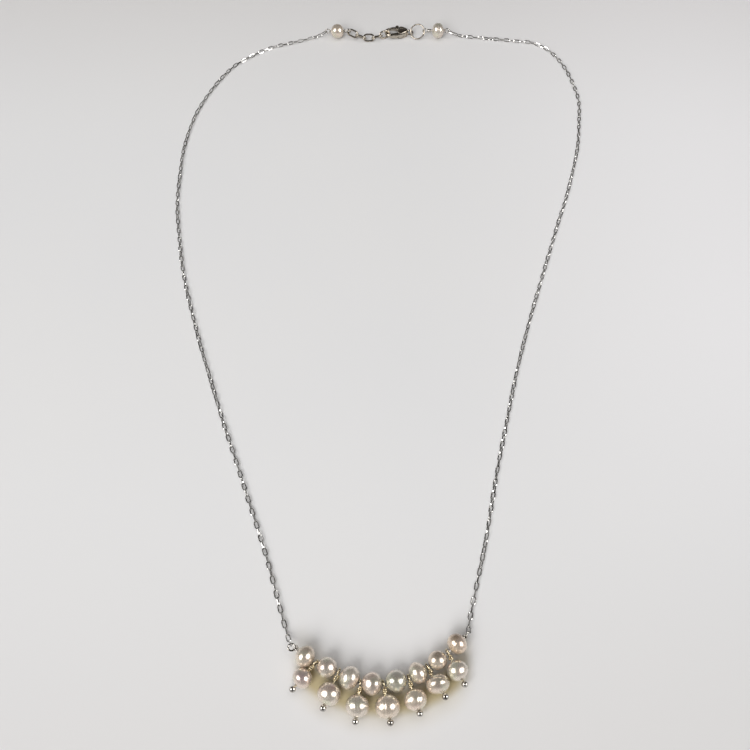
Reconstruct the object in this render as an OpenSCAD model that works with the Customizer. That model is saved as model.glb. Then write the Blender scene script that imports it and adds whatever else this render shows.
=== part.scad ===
// Pearl pendant necklace, lying flat on a table as one closed loop.
// X runs to the wearer's left, Y from the pendant to the clasp, Z up from the table.
// The origin is the middle of the loop's outline, on the table.

/* [Wire] */
// Radius of the silver wire of the bar, the pins and the rear links
wire_r = 0.18; // [0.15:0.01:0.19]
// Radius of a wrapped wire eye, to the middle of its wire
eye_r = 0.7; // [0.66:0.01:0.74]
// Height of the bar wire above the table
bar_z = 2.35; // [2.32:0.01:2.5]

/* [Pearls] */
// Radius of the drilled hole through each pearl
bore_r = 0.3; // [0.26:0.01:0.36]
// Radius of the ball at the foot of each drop pin
ball_r = 0.6; // [0.5:0.02:0.62]

/* [Chain] */
// Width of the fine cable chain
chain_w = 1.0; // [0.8:0.05:1.1]
// Radius of the wire of the extender links
link_wire_r = 0.21; // [0.18:0.01:0.22]
// Length of an extender link, between the middles of its ends
link_len = 3.06; // [3.04:0.01:3.08]
// Width of an extender link, between the middles of its sides
link_w = 1.95; // [1.9:0.01:2.0]

/* [Clasp] */
// Thickness of the clasp's housing
clasp_t = 2.3; // [2.2:0.05:2.4]
// Radius of the hook's rod
hook_rod_r = 0.55; // [0.5:0.01:0.58]
// Thickness of the lever
lever_t = 0.9; // [0.7:0.05:1.0]
// Angle at which the lever is drawn, 0 is closed
lever_turn = 0; // [0:1:18]

/* [Hidden] */
$fn = 48;

silver = "silver";
pearl_white = "ivory";

// Turning points of the bar wire between the pearls, from its left end to its right end
bar_points = [
    [-18.1, -89.7], [-14.5, -91.9], [-9.9, -93.6], [-5.6, -95.8], [-1.0, -95.9],
    [3.9, -94.8], [7.7, -92.73], [11.8, -89.9], [15.2, -86.85]
];

// Upper pearls: centre x, y, thickness along the wire, width across it
TOP_X = 0;
TOP_Y = 1;
TOP_T = 2;
TOP_W = 3;
top_pearls = [
    [-16.6, -90.64, 3.6, 4.2],
    [-12.2, -92.75, 3.9, 4.1],
    [-7.7, -94.73, 3.8, 4.6],
    [-3.27, -95.85, 3.8, 4.6],
    [1.45, -95.35, 4.0, 4.5],
    [5.75, -93.8, 3.5, 4.2],
    [9.7, -91.35, 3.6, 3.9],
    [13.75, -88.15, 3.8, 4.1]
];

// Drops: heading of the pin, distance from its eye to its pearl,
// pearl thickness along the pin, pearl width, gap before the ball, turns of wrapped wire
DROP_HEADING = 0;
DROP_REACH = 1;
DROP_T = 2;
DROP_W = 3;
DROP_GAP = 4;
DROP_TURNS = 5;
drops = [
    [228, 3.8, 3.75, 3.9, 0.25, 3],
    [247, 4.5, 4.3, 4.4, 0.08, 3],
    [263, 4.25, 4.3, 4.4, 0.05, 3],
    [280, 4.3, 4.4, 4.45, 0.1, 3],
    [287.5, 4.2, 4.0, 4.35, 0.05, 3],
    [301, 3.7, 4.1, 4.5, 0.05, 2],
    [297.5, 3.95, 4.3, 4.45, 0.05, 3]
];

// Route of the left chain, from the pendant round to the clasp: x, y, z
left_route = [
    [-19.7, -87.7, 1.6], [-20.5, -86, 0.8], [-22.5, -80, 0.55], [-25, -72, 0.5],
    [-28, -63.5, 0.5], [-31, -55.5, 0.5], [-34.5, -46, 0.5], [-38.5, -35.5, 0.5],
    [-42, -25.5, 0.5], [-45.5, -15.5, 0.5], [-49, -4.5, 0.5], [-52, 6, 0.5],
    [-54.5, 18, 0.5], [-56.5, 30.5, 0.5], [-57, 41.5, 0.5], [-57, 51.5, 0.5],
    [-55.5, 63, 0.5], [-53, 71.5, 0.5], [-49.5, 79.5, 0.5], [-45.5, 86, 0.5],
    [-40, 91, 0.5], [-34.5, 94.5, 0.5], [-29, 96.5, 0.5], [-24, 98.2, 0.55],
    [-20.5, 99.6, 0.7], [-18.6, 100, 1.5]
];

// Route of the right chain, from the pendant round to the clasp: x, y, z
right_route = [
    [16.3, -84.9, 1.3], [16.7, -83, 0.7], [18.5, -76, 0.55], [21, -66.5, 0.5],
    [23, -57.5, 0.5], [25, -48.5, 0.5], [27.5, -38.5, 0.5], [30, -28.5, 0.5],
    [32, -21, 0.5], [34.5, -12.5, 0.5], [37.5, -3, 0.5], [40.5, 6, 0.5],
    [43.5, 15, 0.5], [46.5, 24, 0.5], [49.5, 32.5, 0.5], [52.5, 42.5, 0.5],
    [55, 52, 0.5], [56.5, 61.5, 0.5], [57.5, 70.5, 0.5], [56.5, 79, 0.5],
    [54.5, 86.5, 0.5], [51, 93, 0.5], [46.5, 96.5, 0.5], [41, 97.5, 0.5],
    [34, 98.5, 0.5], [27.5, 99.3, 0.55], [23.2, 100, 0.7], [21, 100.1, 1.7]
];

// Rings of points along each chain's tube
chain_rings = 40;

// Rear pearls: centre x, thickness along the wire, width, turns on the left, on the right
REAR_X = 0;
REAR_T = 1;
REAR_W = 2;
REAR_TURNS_LEFT = 3;
REAR_TURNS_RIGHT = 4;
rear_y = 100.2;
rear_left = [-14.4, 4.0, 4.15, 1, 2];
rear_right = [16.9, 3.7, 4.5, 4, 1];

// Clasp: middle of the hook's bend, and shapes measured from it
hook_x = 2.5;
hook_y = 100.8;
clasp_z = clasp_t / 2;
hook_bend_r = 1.65;
hook_tip_angle = 113;
hook_arm_heading = 7;
hook_arm_len = 2.2;
housing_x0 = 1.9;
housing_x1 = 4.85;
slot_t = lever_t + 0.2;
slot_floor_y = -0.1;
tail_eye_r = 0.95;
tail_rod_r = 0.22;
tail_x = 5.64;
pivot_x = 3.1;
pivot_y = 0.8;
pin_r = 0.3;
pin_bore_r = 0.33;
lever_boss_r = 0.62;
gate_reach = 3.7;

// Extender links: where each meets the next, from the left rear pearl to the clasp's hook
link_joints = [
    [-10.86, 100.2, 2.05], [-8.37, 99.15, 1.33], [-5.9, 98.52, 0.95],
    [-3.33, 98.62, 0.93], [-0.86, 99.38, 1.08], [1.76, 100.47, 1.15]
];
// How far each extender link leans about its own length
link_rolls = [22, -50, 40, -35, 64];

// Jump ring between the clasp's tail and the right rear pearl
ring_start = [8.42, 100.8, 1.15];
ring_end = [12.62, 100.2, 2.22];
ring_roll = 38;

top_count = len(top_pearls);
drop_count = len(drops);
link_count = len(link_rolls);

// Heading and pitch of the way from one point to another
function heading(from, to) = atan2(to[1] - from[1], to[0] - from[0]);
function flat_length(from, to) = norm([to[0] - from[0], to[1] - from[1]]);
function pitch(from, to) = atan2(to[2] - from[2], flat_length(from, to));
function raised(point, z) = [point[0], point[1], z];

// Places its children at a point, with their X axis along a heading and a pitch
module along(point, head, tilt = 0) {
    translate(point) rotate([0, -tilt, head]) children();
}

// Ring of round wire in the XY plane, its seam a quarter turn from X, where other wires join it
module ring(middle_r, rod_r) {
    rotate(90) rotate_extrude() translate([middle_r, 0]) circle(r = rod_r, $fn = 24);
}

// Half section of some turns of wrapped wire, the turned axis along Y
module wraps_section(turns) {
    turn_pitch = 2 * wire_r;
    square([turn_pitch, turns * turn_pitch]);
    for (i = [0:turns - 1]) translate([turn_pitch, (i + 0.5) * turn_pitch]) circle(r = wire_r, $fn = 24);
}

// Turns of wire wrapped round a wire that runs along X, starting at x = 0
module wraps(turns) {
    rotate([0, 90, 0]) rotate_extrude() wraps_section(turns);
}

// Drilled pearl on the X axis: a rounded rim and two small flats where the hole comes out
module pearl(thickness, width) {
    rim_r = thickness / 2;
    flat_r = (width - thickness) / 2;
    color(pearl_white) difference() {
        if (flat_r > 0.01)
            rotate([0, 90, 0]) rotate_extrude() {
                translate([flat_r, 0]) intersection() {
                    circle(r = rim_r);
                    translate([0, -rim_r]) square([rim_r, thickness]);
                }
                translate([0, -rim_r]) square([flat_r, thickness]);
            }
        else
            sphere(r = rim_r);
        rotate([0, 90, 0]) cylinder(h = thickness + 2, r = bore_r, center = true);
    }
}

// Upper pearl, threaded on the straight stretch of bar wire between two turning points
module pearl_top(i) {
    row = top_pearls[i - 1];
    head = heading(bar_points[i - 1], bar_points[i]);
    along([row[TOP_X], row[TOP_Y], bar_z], head) pearl(row[TOP_T], row[TOP_W]);
}

// A drop hangs from a turning point of the bar wire and leans down until its pearl lies on the table
function drop_hang(i) = raised(bar_points[i], bar_z);
function drop_lean(i) = -asin((bar_z - drops[i - 1][DROP_W] / 2) / drops[i - 1][DROP_REACH]);

module pearl_drop(i) {
    row = drops[i - 1];
    along(drop_hang(i), row[DROP_HEADING], drop_lean(i))
        translate([row[DROP_REACH], 0, 0]) pearl(row[DROP_T], row[DROP_W]);
}

// Pin with a ball foot, a wrapped neck and an eye round the bar wire
module drop_pin(i) {
    row = drops[i - 1];
    neck_start = eye_r - wire_r / 2;
    shank = row[DROP_REACH] + row[DROP_T] / 2 + row[DROP_GAP] + ball_r - neck_start;
    color(silver) along(drop_hang(i), row[DROP_HEADING], drop_lean(i)) {
        rotate([90, 0, 0]) ring(eye_r, wire_r);
        translate([neck_start, 0, 0]) rotate([0, 90, 0]) rotate_extrude() {
            wraps_section(row[DROP_TURNS]);
            square([wire_r, shank]);
            intersection() {
                translate([0, shank]) circle(r = ball_r);
                translate([0, shank - ball_r]) square([ball_r, 2 * ball_r]);
            }
        }
    }
}

// Bar wire through the upper pearls, with a wrapped eye at each end for the chain
left_neck = [-18.73, -88.62];
left_eye = [-19.42, -88.8, bar_z];
right_neck_tilt = -25;
right_neck_heading = 50;
right_neck_len = 0.5;
bend_ball_r = 1.3 * wire_r;
bend_ball_depth = 0.5 * wire_r;

// Straight stretch of the bar, whose ends lie inside the small balls at its bends
module bar_stretch(from, to) {
    along(raised(from, bar_z), heading(from, to)) translate([bend_ball_depth, 0, 0]) rotate([0, 90, 0])
        cylinder(h = norm(to - from) - 2 * bend_ball_depth, r = wire_r);
}

// Small ball at a bend, its seam a quarter turn from the bar
module bar_bend(i) {
    before = bar_points[max(i - 1, 0)];
    after = bar_points[min(i + 1, top_count)];
    translate(raised(bar_points[i], bar_z)) rotate(heading(before, after) + 90) sphere(r = bend_ball_r);
}

module bar_wire() {
    first = bar_points[0];
    last = raised(bar_points[top_count], bar_z);
    color(silver) {
        for (i = [1:top_count]) bar_stretch(bar_points[i - 1], bar_points[i]);
        for (i = [0:top_count]) bar_bend(i);
        along(raised(left_neck, bar_z), heading(left_neck, first)) {
            wraps(2);
            rotate([0, 90, 0]) cylinder(h = norm(first - left_neck) - bend_ball_depth, r = wire_r);
        }
        translate(left_eye) ring(eye_r, wire_r);
        along(last, right_neck_heading, right_neck_tilt) {
            translate([bend_ball_depth, 0, 0]) rotate([0, 90, 0])
                cylinder(h = right_neck_len - bend_ball_depth, r = wire_r);
            translate([0.15, 0, 0]) wraps(1);
            translate([right_neck_len + eye_r, 0, 0]) rotate([90, 0, 0]) ring(eye_r, wire_r);
        }
    }
}

// Fine chain as one eight-sided tube along a route of points
function spline_point(p, i, t) =
    let (a = p[max(i - 1, 0)], b = p[i], c = p[i + 1], d = p[min(i + 2, len(p) - 1)])
    0.5 * (2 * b + (c - a) * t + (2 * a - 5 * b + 4 * c - d) * t * t + (3 * b - a - 3 * c + d) * t * t * t);

function spline(p, rings) = [
    for (k = [0:rings - 1])
        let (u = k * (len(p) - 1) / (rings - 1), i = min(floor(u), len(p) - 2))
        spline_point(p, i, u - i)
];

module tube(path, r) {
    sides = 8;
    n = len(path);
    points = [
        for (i = [0:n - 1])
            let (
                from = path[max(i - 1, 0)],
                to = path[min(i + 1, n - 1)],
                ahead = (to - from) / norm(to - from),
                side = cross([0, 0, 1], ahead) / norm(cross([0, 0, 1], ahead)),
                up = cross(ahead, side)
            )
            for (k = [0:sides - 1])
                let (a = 360 * (k + 0.5) / sides)
                path[i] + r / cos(180 / sides) * (cos(a) * side + sin(a) * up)
    ];
    walls = [
        for (i = [0:n - 2], k = [0:sides - 1])
            let (next = (k + 1) % sides)
            [i * sides + k, (i + 1) * sides + k, (i + 1) * sides + next, i * sides + next]
    ];
    start_cap = [for (k = [0:sides - 1]) k];
    end_cap = [for (k = [sides - 1:-1:0]) (n - 1) * sides + k];
    polyhedron(points = points, faces = concat([start_cap], walls, [end_cap]), convexity = 10);
}

module chain(route) {
    color(silver) tube(spline(route, chain_rings), chain_w / 2);
}

module chain_left() {
    chain(left_route);
}

module chain_right() {
    chain(right_route);
}

// Wire through a rear pearl, with a wrapped upright eye at each end
module rear_wire(row) {
    half_t = row[REAR_T] / 2;
    clear = 0.08;
    left_len = half_t + clear + row[REAR_TURNS_LEFT] * 2 * wire_r;
    right_len = half_t + clear + row[REAR_TURNS_RIGHT] * 2 * wire_r;
    color(silver) translate([row[REAR_X], rear_y, rear_z(row)]) {
        translate([-left_len, 0, 0]) rotate([0, 90, 0]) cylinder(h = left_len + right_len, r = wire_r);
        translate([-left_len, 0, 0]) wraps(row[REAR_TURNS_LEFT]);
        translate([half_t + clear, 0, 0]) wraps(row[REAR_TURNS_RIGHT]);
        translate([-left_len - eye_r + wire_r / 2, 0, 0]) rotate([90, 0, 0]) ring(eye_r, wire_r);
        translate([right_len + eye_r - wire_r / 2, 0, 0]) rotate([90, 0, 0]) ring(eye_r, wire_r);
    }
}

function rear_z(row) = row[REAR_W] / 2;

module rear_pearl(row) {
    translate([row[REAR_X], rear_y, rear_z(row)]) pearl(row[REAR_T], row[REAR_W]);
}

module pearl_clasp_left() {
    rear_pearl(rear_left);
}

module pearl_clasp_right() {
    rear_pearl(rear_right);
}

module link_wire_left() {
    rear_wire(rear_left);
}

module link_wire_right() {
    rear_wire(rear_right);
}

// Oval link of round wire in the XY plane, long along X
module oval_link() {
    end_r = link_w / 2;
    straight = link_len - link_w;
    for (side = [-1, 1]) {
        translate([side * straight / 2, 0, 0]) rotate(side * 90 - 180)
            rotate_extrude(angle = 180) translate([end_r, 0]) circle(r = link_wire_r, $fn = 24);
        translate([-straight / 2, side * end_r, 0]) rotate([0, 90, 0])
            cylinder(h = straight, r = link_wire_r, $fn = 24);
    }
}

// The first link's start and the last link's end are where their own wire bends,
// the joints between are where two links cross
module extender_link(i) {
    from = link_joints[i - 1];
    to = link_joints[i];
    head = heading(from, to);
    tilt = pitch(from, to);
    middle_x = i == 1 ? link_len / 2 : i == link_count ? norm(to - from) - link_len / 2 : norm(to - from) / 2;
    color(silver) along(from, head, tilt) translate([middle_x, 0, 0])
        rotate([link_rolls[i - 1], 0, 0]) oval_link();
}

module clasp_ring() {
    span = norm(ring_end - ring_start);
    color(silver) along(ring_start, heading(ring_start, ring_end), pitch(ring_start, ring_end))
        translate([span / 2, 0, 0]) rotate([ring_roll, 0, 0]) ring(span / 2, wire_r);
}

// Places its children at the middle of the hook's bend
module at_clasp() {
    translate([hook_x, hook_y, clasp_z]) children();
}

// Cast body: a hook, a slotted housing for the lever and a tail eye
module clasp_body() {
    bend_end = 270 + hook_arm_heading;
    color(silver) at_clasp() difference() {
        union() {
            rotate(hook_tip_angle) rotate_extrude(angle = bend_end - hook_tip_angle)
                translate([hook_bend_r, 0]) circle(r = hook_rod_r, $fn = 32);
            rotate(bend_end) translate([hook_bend_r, 0, 0]) rotate([-90, 0, 0])
                cylinder(h = hook_arm_len, r = hook_rod_r, $fn = 32);
            translate([0, 0, -clasp_t / 2]) linear_extrude(clasp_t) polygon([
                [housing_x0, -1.9], [housing_x0, 0], [housing_x0 + 0.4, 1.5], [housing_x1 - 0.6, 1.0],
                [housing_x1, 0.45], [housing_x1, -0.45], [housing_x1 - 0.6, -1.1]
            ]);
            translate([tail_x, 0, 0]) ring(tail_eye_r, tail_rod_r);
        }
        clasp_tip_cut();
        translate([housing_x0 - 1, slot_floor_y, -slot_t / 2])
            cube([housing_x1 - housing_x0 + 0.6, 3, slot_t]);
        translate([pivot_x, pivot_y, 0]) cylinder(h = clasp_t + 2, r = pin_bore_r, center = true);
    }
}

// Clears the hook's tip from the path of the lever's end, which swings about the rivet
module clasp_tip_cut() {
    translate([0, 0, -clasp_t / 2]) linear_extrude(clasp_t)
        polygon([[-0.83, 0.5], [-0.44, 2.3], [1, 2.3], [1, 0.5]]);
}

// Sprung lever that closes the hook, with a thumb knob and a hole for the rivet
module clasp_lever() {
    color(silver) at_clasp() translate([pivot_x, pivot_y, 0]) rotate(lever_turn)
        translate([-pivot_x, -pivot_y, -lever_t / 2]) difference() {
            union() {
                linear_extrude(lever_t) intersection() {
                    polygon([
                        [-0.8, 1.1], [-0.8, 1.75], [0, 2.0], [1.7, 2.15],
                        [pivot_x + 0.2, 1.38], [pivot_x - 0.25, 0.25], [0.3, 1.3]
                    ]);
                    translate([pivot_x, pivot_y]) circle(r = gate_reach);
                }
                translate([pivot_x, pivot_y, 0]) cylinder(h = lever_t, r = lever_boss_r);
                translate([1.75, 2.25, 0]) cylinder(h = lever_t, r = 0.55);
            }
            translate([pivot_x, pivot_y, -1]) cylinder(h = lever_t + 2, r = pin_bore_r);
        }
}

// Rivet that the lever turns on
module clasp_pin() {
    color(silver) at_clasp() translate([pivot_x, pivot_y, 0]) cylinder(h = clasp_t, r = pin_r, center = true);
}

for (i = [1:top_count]) pearl_top(i);
for (i = [1:drop_count]) pearl_drop(i);
for (i = [1:drop_count]) drop_pin(i);
for (i = [1:link_count]) extender_link(i);
pearl_clasp_left();
pearl_clasp_right();
bar_wire();
link_wire_left();
link_wire_right();
chain_left();
chain_right();
clasp_body();
clasp_lever();
clasp_pin();
clasp_ring();
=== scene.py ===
# Pearl pendant necklace, laid as a closed loop on a pale table.
# Lengths are in metres, apart from those that a comment gives in millimetres.
import math

import bmesh
import bpy
from mathutils import Matrix, Vector, noise


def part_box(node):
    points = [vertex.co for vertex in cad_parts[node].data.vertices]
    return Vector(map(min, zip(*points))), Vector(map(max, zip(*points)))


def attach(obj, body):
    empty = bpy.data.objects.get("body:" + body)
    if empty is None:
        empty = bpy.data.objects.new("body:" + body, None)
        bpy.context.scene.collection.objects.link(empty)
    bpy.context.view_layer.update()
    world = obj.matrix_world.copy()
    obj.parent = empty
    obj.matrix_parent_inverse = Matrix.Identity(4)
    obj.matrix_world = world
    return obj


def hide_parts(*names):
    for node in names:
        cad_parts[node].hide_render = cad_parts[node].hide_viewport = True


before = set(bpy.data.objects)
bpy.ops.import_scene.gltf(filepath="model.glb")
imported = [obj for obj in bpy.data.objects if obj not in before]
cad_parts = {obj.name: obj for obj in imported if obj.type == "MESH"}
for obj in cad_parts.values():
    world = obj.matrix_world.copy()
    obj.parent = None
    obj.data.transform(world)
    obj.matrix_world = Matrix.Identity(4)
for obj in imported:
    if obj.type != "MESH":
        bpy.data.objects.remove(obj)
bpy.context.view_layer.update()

MM = 0.001
UP = Vector((0, 0, 1))
NECKLACE = "necklace"
LEVER = "lever"

# Wire and fittings, as they are in the frame
WIRE_R = 0.18 * MM
EYE_R = 0.7 * MM
BALL_R = 0.6 * MM
# Distance from the middle of an eye to where its neck begins
NECK_START = EYE_R - WIRE_R / 2
# Radius, rise and points of each turn of the wire that is wrapped round a neck
WRAP_R = 2 * WIRE_R
WRAP_PITCH = 2.02 * WIRE_R
WRAP_STEPS = 14
# An eye stays open by this angle on each side of its neck, in degrees, and a pin's by a little less
EYE_GAP = 15
PIN_EYE_GAP = 14
EYE_STEPS = 26

# Fine cable chain
LINK_PITCH = 1.62 * MM
LINK_LENGTH = 2.02 * MM
LINK_WIDTH = 1.08 * MM
LINK_WIRE_R = 0.15 * MM
LINK_SIDES = 7
LINK_END_STEPS = 4

# Route of each chain from the pendant round to the clasp
LEFT_ROUTE = [
    (-0.0197, -0.0877, 0.0016), (-0.0205, -0.086, 0.0008), (-0.0225, -0.08, 0.00055),
    (-0.025, -0.072, 0.0005), (-0.028, -0.0635, 0.0005), (-0.031, -0.0555, 0.0005),
    (-0.0345, -0.046, 0.0005), (-0.0385, -0.0355, 0.0005), (-0.042, -0.0255, 0.0005),
    (-0.0455, -0.0155, 0.0005), (-0.049, -0.0045, 0.0005), (-0.052, 0.006, 0.0005),
    (-0.0545, 0.018, 0.0005), (-0.0565, 0.0305, 0.0005), (-0.057, 0.0415, 0.0005),
    (-0.057, 0.0515, 0.0005), (-0.0555, 0.063, 0.0005), (-0.053, 0.0715, 0.0005),
    (-0.0495, 0.0795, 0.0005), (-0.0455, 0.086, 0.0005), (-0.04, 0.091, 0.0005),
    (-0.0345, 0.0945, 0.0005), (-0.029, 0.0965, 0.0005), (-0.024, 0.0982, 0.00055),
    (-0.0205, 0.0996, 0.0007), (-0.0186, 0.1, 0.0015),
]
RIGHT_ROUTE = [
    (0.0163, -0.0849, 0.0013), (0.0167, -0.083, 0.0007), (0.0185, -0.076, 0.00055),
    (0.021, -0.0665, 0.0005), (0.023, -0.0575, 0.0005), (0.025, -0.0485, 0.0005),
    (0.0275, -0.0385, 0.0005), (0.03, -0.0285, 0.0005), (0.032, -0.021, 0.0005),
    (0.0345, -0.0125, 0.0005), (0.0375, -0.003, 0.0005), (0.0405, 0.006, 0.0005),
    (0.0435, 0.015, 0.0005), (0.0465, 0.024, 0.0005), (0.0495, 0.0325, 0.0005),
    (0.0525, 0.0425, 0.0005), (0.055, 0.052, 0.0005), (0.0565, 0.0615, 0.0005),
    (0.0575, 0.0705, 0.0005), (0.0565, 0.079, 0.0005), (0.0545, 0.0865, 0.0005),
    (0.051, 0.093, 0.0005), (0.0465, 0.0965, 0.0005), (0.041, 0.0975, 0.0005),
    (0.034, 0.0985, 0.0005), (0.0275, 0.0993, 0.00055), (0.0232, 0.1, 0.0007),
    (0.021, 0.1001, 0.0017),
]


# Materials


class Value:
    """A socket of a shading's nodes. Arithmetic on it adds Math nodes."""

    def __init__(self, shading, socket):
        self.shading = shading
        self.socket = socket

    def maths(self, operation, *inputs):
        return self.shading.node("ShaderNodeMath", {"operation": operation}, inputs)

    def __add__(self, other):
        return self.maths("ADD", self, other)

    def __sub__(self, other):
        return self.maths("SUBTRACT", self, other)

    def __rsub__(self, other):
        return self.maths("SUBTRACT", other, self)

    def __mul__(self, other):
        return self.maths("MULTIPLY", self, other)

    def __pow__(self, other):
        return self.maths("POWER", self, other)

    def __abs__(self):
        return self.maths("ABSOLUTE", self)

    __radd__ = __add__
    __rmul__ = __mul__

    def step(self, low, high):
        """Smooth rise from 0 to 1 between two values."""
        settings = {"interpolation_type": "SMOOTHSTEP"}
        inputs = {"Value": self, "From Min": low, "From Max": high}
        return self.shading.node("ShaderNodeMapRange", settings, inputs)

    def output(self, name):
        """Another output of the same node."""
        return Value(self.shading, self.socket.node.outputs[name])


class Shading:
    """The nodes of a material or of the surroundings, added by method calls."""

    def __init__(self, owner, shader):
        owner.use_nodes = True
        self.tree = owner.node_tree
        self.shader = self.tree.nodes[shader]

    def node(self, kind, settings=None, inputs=(), output=0):
        """Adds a node: first its settings or its ramp's stops, then the values or links of its sockets."""
        made = self.tree.nodes.new(kind)
        for name, value in (settings or {}).items():
            if name == "stops":
                for element, (position, tint) in zip(made.color_ramp.elements, value):
                    element.position = position
                    element.color = tint
            else:
                setattr(made, name, value)
        pairs = inputs.items() if isinstance(inputs, dict) else enumerate(inputs)
        for key, value in pairs:
            self.put(made.inputs[key], value)
        return Value(self, made.outputs[output])

    def put(self, socket, value):
        if isinstance(value, Value):
            self.tree.links.new(value.socket, socket)
        else:
            socket.default_value = value

    def feed(self, socket, value):
        self.put(self.shader.inputs[socket], value)

    def split(self, vector):
        """X of a vector, whose Y and Z are other outputs of the same node."""
        return self.node("ShaderNodeSeparateXYZ", inputs=(vector,))


class Finish(Shading):
    """A material, begun with the values that are the same all over it."""

    def __init__(self, name, fixed):
        self.material = bpy.data.materials.new(name)
        super().__init__(self.material, "Principled BSDF")
        for socket, value in fixed.items():
            self.feed(socket, value)

    def place(self):
        """Object coordinates."""
        return self.node("ShaderNodeTexCoord", output="Object")

    def mottle(self, size, detail=3.0, place=None):
        """Noise from 0 to 1 whose patches are about as wide as size."""
        inputs = {"Vector": place or self.place(), "Scale": 1 / size, "Detail": detail}
        return self.node("ShaderNodeTexNoise", inputs=inputs)

    def mix(self, share, first, second):
        """Colour between two colours. The node takes them at inputs 6 and 7, and gives it at output 2."""
        inputs = {0: share, 6: first, 7: second}
        return self.node("ShaderNodeMix", {"data_type": "RGBA"}, inputs, output=2)

    def relief(self, height, depth, strength):
        """Normal of a surface raised by height times depth."""
        inputs = {"Height": height, "Distance": depth, "Strength": strength}
        return self.node("ShaderNodeBump", inputs=inputs)


def colour(red, green, blue):
    """Colour given as it looks on a screen, 0 to 255, as the linear values a material takes."""
    def linear(level):
        share = level / 255
        return share / 12.92 if share <= 0.04045 else ((share + 0.055) / 1.055) ** 2.4
    return (linear(red), linear(green), linear(blue), 1.0)


# The chains are painted paler between these distances towards the back of the loop, as painted glints
PAINTED_GLINT_START = 84 * MM
PAINTED_GLINT_FULL = 97 * MM


def silver_finish(name, tint, tarnish, gloss=0.08, patch=1.6 * MM, rear_painted_glint=None):
    """Polished silver with fine handling marks and a faint tarnish. A paler tint may be painted at the rear
    as glints.
    """
    finish = Finish(name, {"Metallic": 1.0})
    cloud = finish.mottle(patch)
    fine = finish.mottle(0.12 * MM, detail=2.0)
    tone = finish.mix(cloud.step(0.45, 0.75), colour(*tint), colour(*tarnish))
    if rear_painted_glint:
        north = finish.split(finish.place()).output("Y")
        tone = finish.mix(0.85 * north.step(PAINTED_GLINT_START, PAINTED_GLINT_FULL), tone, colour(*rear_painted_glint))
    finish.feed("Base Color", tone)
    finish.feed("Roughness", gloss + 0.1 * cloud + 0.05 * fine)
    finish.feed("Normal", finish.relief(fine, depth=0.004 * MM, strength=0.5))
    return finish.material


# Body and shade of each pearl tone, and the two hues that every pearl has in patches
PEARL_TONES = {
    "silver_white": ((222, 212, 199), (180, 166, 148)),
    "cream": ((226, 212, 195), (182, 164, 142)),
    "rose": ((222, 208, 195), (178, 158, 141)),
    "peach": ((228, 208, 186), (186, 160, 134)),
    "green": ((205, 200, 188), (164, 157, 142)),
}
ROSY = (226, 207, 193)
GREENISH = (212, 211, 190)


def pearl_finish(name, body, shade):
    """Nacre: a creamy body with rosy and greenish patches, each pearl's stains and painted shade, under a
    clear gloss.
    """
    gloss = {"Metallic": 0.66, "Coat Weight": 1.0, "Coat Roughness": 0.14, "Coat IOR": 1.6}
    finish = Finish(name, gloss)
    rosy = finish.mottle(2.4 * MM, detail=1.0)
    elsewhere = {"Vector": finish.place(), "Scale": -1.7}
    green_place = finish.node("ShaderNodeVectorMath", {"operation": "SCALE"}, elsewhere)
    green = finish.mottle(4.0 * MM, detail=1.0, place=green_place)
    cloud = finish.mottle(0.9 * MM)
    grain = finish.mottle(0.14 * MM, detail=2.0)
    tone = finish.mix(0.8 * rosy.step(0.5, 0.7), colour(*body), colour(*ROSY))
    tone = finish.mix(0.7 * green.step(0.5, 0.7), tone, colour(*GREENISH))
    tone = finish.mix(0.35 * cloud.step(0.5, 0.75), tone, colour(*shade))
    # each pearl's stains and painted shade, stored on its vertices, cover the tone by their share
    stain_and_shade = finish.node("ShaderNodeAttribute", {"attribute_name": "stain_and_shade"})
    finish.feed("Base Color", finish.mix(stain_and_shade.output("Alpha"), tone, stain_and_shade))
    finish.feed("Roughness", 0.22 + 0.1 * cloud)
    finish.feed("Normal", finish.relief(0.8 * cloud + 0.2 * grain, depth=0.01 * MM, strength=0.5))
    return finish.material


# Circle that the gap between the pendant's rows follows, along which warm shade is painted on the table
PAINTED_SHADE_EAST = -1.2 * MM
PAINTED_SHADE_NORTH = -76.1 * MM
PAINTED_SHADE_RADIUS = 23.1 * MM


def table_finish():
    """Pale paper, with painted warm shade between the pendant's rows: the pearls' shadow and the light
    through and off them.
    """
    finish = Finish("table", {"Roughness": 0.6, "Specular IOR Level": 0.0})
    cloud = finish.mottle(60 * MM, detail=2.0)
    paper = finish.mix(cloud, colour(231, 230, 229), colour(227, 227, 228))
    east = finish.split(finish.place())
    north = east.output("Y")
    # painted light makes the table a little paler on its east side, and painted shade darker towards the
    # back and the front
    painted_light_side = east.step(0, 100 * MM) * north.step(-100 * MM, 0)
    paper = finish.mix(painted_light_side, paper, colour(240, 239, 240))
    painted_shade_paper = finish.mix(painted_light_side, colour(219, 217, 216), colour(228, 226, 226))
    paper = finish.mix(abs(north).step(50 * MM, 150 * MM), paper, painted_shade_paper)
    # the painted warm shade is strongest on its circle, in front of the upper row and away from the
    # pendant's ends
    off_circle = abs(((east - PAINTED_SHADE_EAST) ** 2 + (north - PAINTED_SHADE_NORTH) ** 2) ** 0.5 - PAINTED_SHADE_RADIUS)
    painted_shade_band = 1 - 0.7 * off_circle.step(0.8 * MM, 3.2 * MM) - 0.3 * off_circle.step(1.5 * MM, 7 * MM)
    behind = north.step(-88 * MM, -80 * MM)
    ends = abs(east - PAINTED_SHADE_EAST).step(14 * MM, 19 * MM)
    painted_warm_shade = painted_shade_band * (1 - behind) * (1 - ends)
    finish.feed("Base Color", finish.mix(painted_warm_shade, paper, colour(188, 175, 140)))
    return finish.material


# Mesh work


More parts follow.
